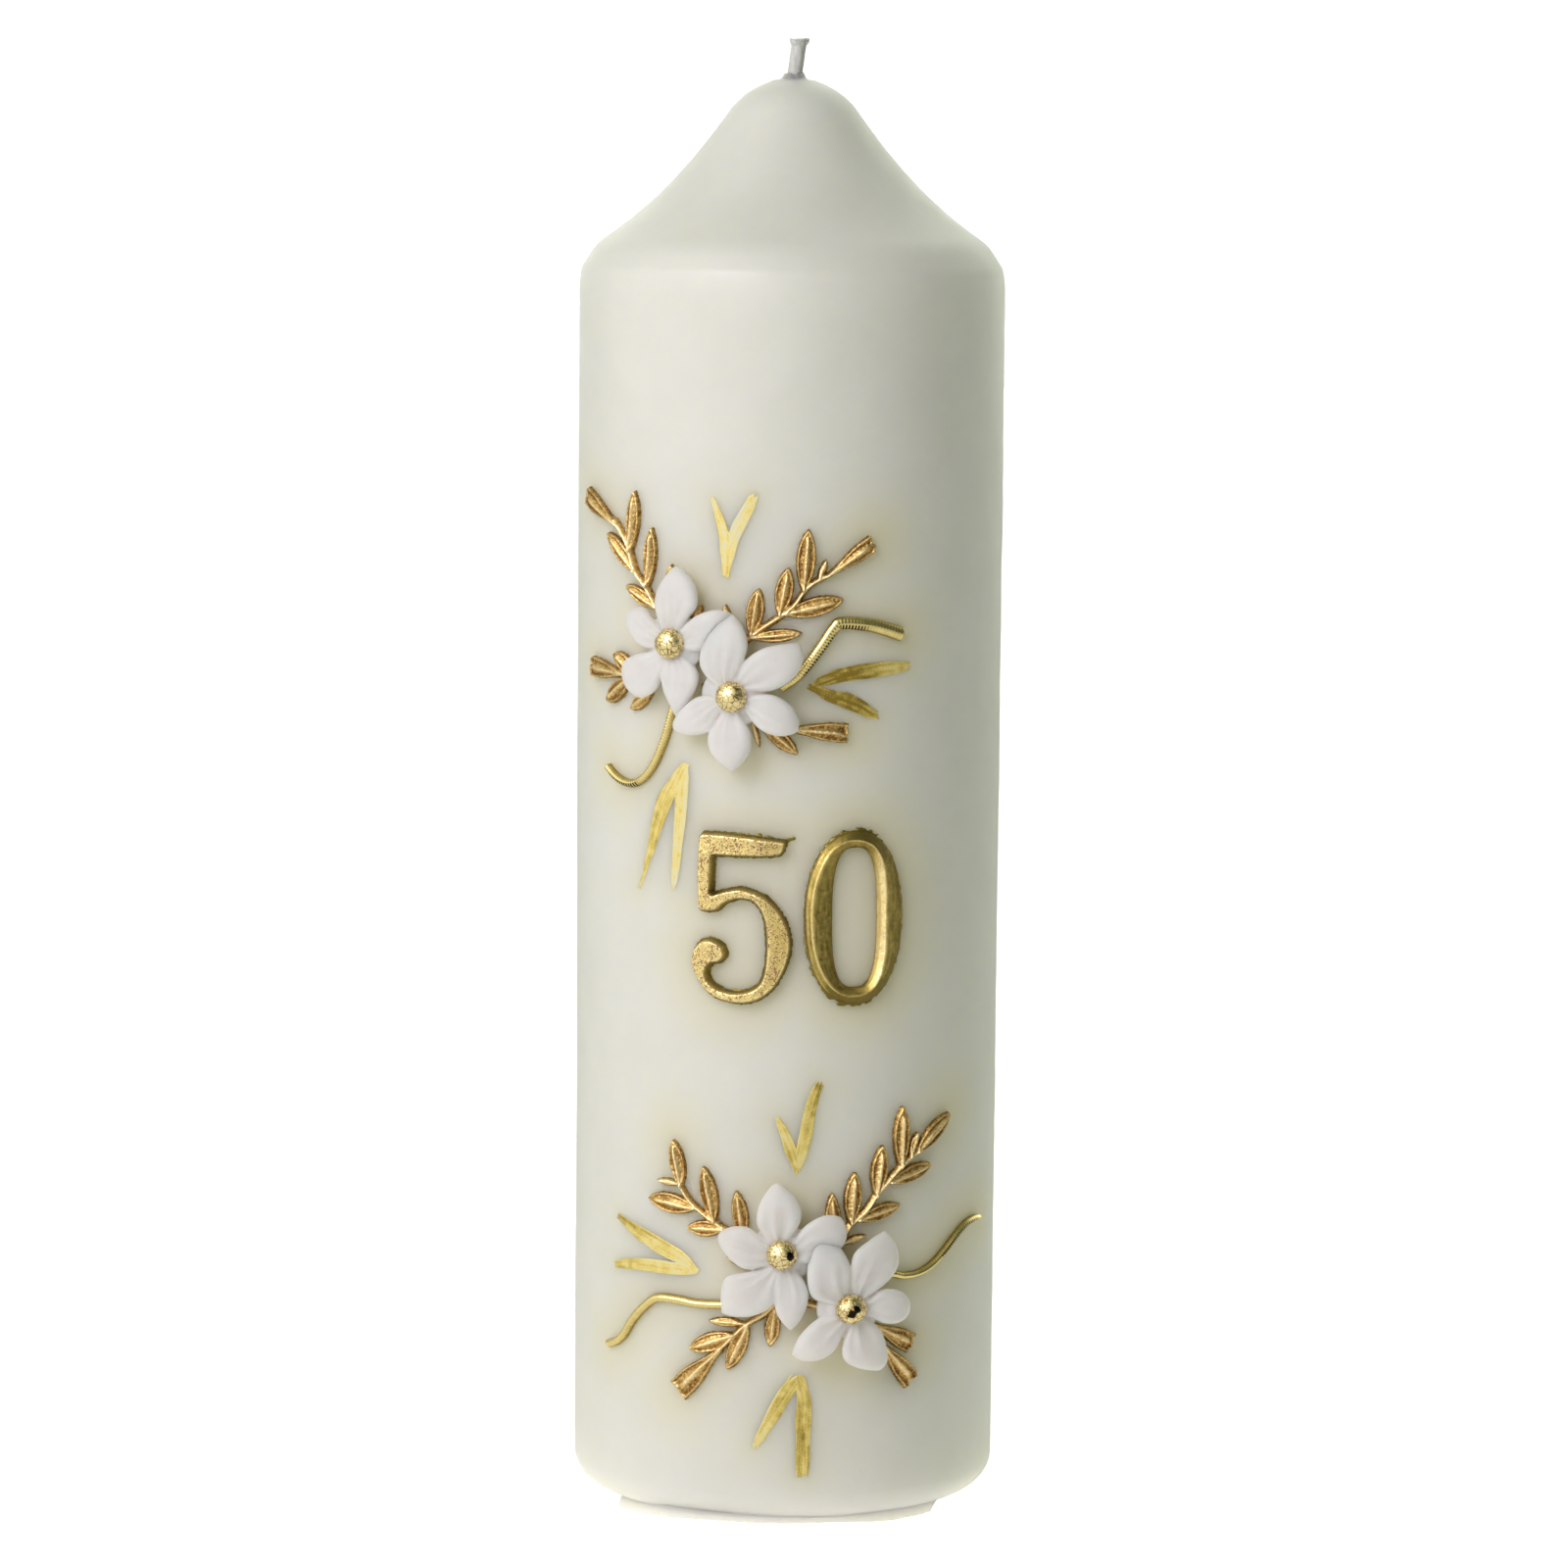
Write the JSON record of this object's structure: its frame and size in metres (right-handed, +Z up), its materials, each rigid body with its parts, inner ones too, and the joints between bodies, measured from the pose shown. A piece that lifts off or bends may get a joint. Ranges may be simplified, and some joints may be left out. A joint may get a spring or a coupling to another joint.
{
  "type": "pillar candle",
  "caption": "White overdipped pillar candle with a drawn-up pointed head and wick, trimmed on its front with gold anniversary numerals, wax flowers, leaf sprigs and brush marks.",
  "frame": {"origin": "on the table plane under the candle's axis, at the centre of the flat underside", "axes": "+Z up the candle to the wick; -Y is the front, through the middle of the number; +X is the right of the front"},
  "size_m": [0.07, 0.0756, 0.2417],
  "materials": {
    "white_wax": "smooth translucent satin",
    "core_wax": "pressed granular",
    "cotton": "braided, waxed",
    "tinplate": "stamped",
    "flower_wax": "soft satin",
    "leaf_gold": "antique satin",
    "numeral_gold": "pitted satin",
    "mirror_gold": "mirror foil",
    "brush_gold": "dry-brushed"
  },
  "bodies": {
    "root": {"candle_core": "core_wax", "wax_coat": "white_wax", "base_foot": "white_wax", "wick": "cotton", "wick_sustainer": "tinplate", "numeral_five": "numeral_gold", "numeral_zero": "numeral_gold", "upper_rear_flower": "flower_wax", "upper_front_flower": "flower_wax", "lower_rear_flower": "flower_wax", "lower_front_flower": "flower_wax", "upper_rear_bead": "mirror_gold", "upper_front_bead": "mirror_gold", "lower_rear_bead": "mirror_gold", "lower_front_bead": "mirror_gold", "upper_sprig_up_left": "leaf_gold", "upper_sprig_up_right": "leaf_gold", "upper_sprig_down_left": "leaf_gold", "upper_sprig_down_right": "leaf_gold", "lower_sprig_up_left": "leaf_gold", "lower_sprig_up_right": "leaf_gold", "lower_sprig_down_left": "leaf_gold", "lower_sprig_down_right": "leaf_gold", "upper_strip_left": "mirror_gold", "upper_strip_right": "mirror_gold", "lower_strip_left": "mirror_gold", "lower_strip_right": "mirror_gold", "upper_brush_top": "brush_gold", "upper_brush_right": "brush_gold", "upper_brush_bottom": "brush_gold", "lower_brush_top": "brush_gold", "lower_brush_left": "brush_gold", "lower_brush_bottom": "brush_gold"}
  },
  "joints": []
}
